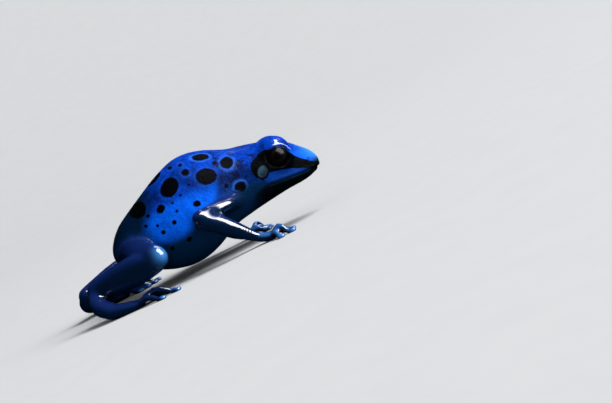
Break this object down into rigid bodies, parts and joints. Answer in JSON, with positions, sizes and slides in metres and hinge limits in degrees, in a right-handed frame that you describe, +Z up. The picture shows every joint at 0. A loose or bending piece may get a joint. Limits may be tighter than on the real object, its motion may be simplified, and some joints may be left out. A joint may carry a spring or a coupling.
{
  "type": "poison dart frog",
  "caption": "Still, life-size blue poison dart frog with black spots, sitting on all fours with its head raised.",
  "frame": {"origin": "the middle of the frog's length and width, on the floor that its hands and feet rest on", "axes": "+X forward, the way the head looks; +Y to the frog's left; +Z up"},
  "size_m": [0.052, 0.0392, 0.0205],
  "materials": {
    "blue_skin": "moist, finely grained blue skin with black spots",
    "limb_skin": "moist, smooth dark navy skin",
    "eardrum": "thin, tight dark skin",
    "eyeball": "wet, clear surface over a near-black iris"
  },
  "bodies": {
    "root": {"torso": "blue_skin", "head": "blue_skin", "eye_right": "eyeball", "ear_right": "eardrum", "upper_arm_right": "limb_skin", "forearm_right": "limb_skin", "hand_right": "limb_skin", "finger_1_right": "limb_skin", "finger_2_right": "limb_skin", "finger_3_right": "limb_skin", "finger_4_right": "limb_skin", "thigh_right": "limb_skin", "shank_right": "limb_skin", "tarsus_right": "limb_skin", "foot_right": "limb_skin", "toe_1_right": "limb_skin", "toe_2_right": "limb_skin", "toe_3_right": "limb_skin", "toe_4_right": "limb_skin", "toe_5_right": "limb_skin", "eye_left": "eyeball", "ear_left": "eardrum", "upper_arm_left": "limb_skin", "forearm_left": "limb_skin", "hand_left": "limb_skin", "finger_1_left": "limb_skin", "finger_2_left": "limb_skin", "finger_3_left": "limb_skin", "finger_4_left": "limb_skin", "thigh_left": "limb_skin", "shank_left": "limb_skin", "tarsus_left": "limb_skin", "foot_left": "limb_skin", "toe_1_left": "limb_skin", "toe_2_left": "limb_skin", "toe_3_left": "limb_skin", "toe_4_left": "limb_skin", "toe_5_left": "limb_skin"}
  },
  "joints": []
}
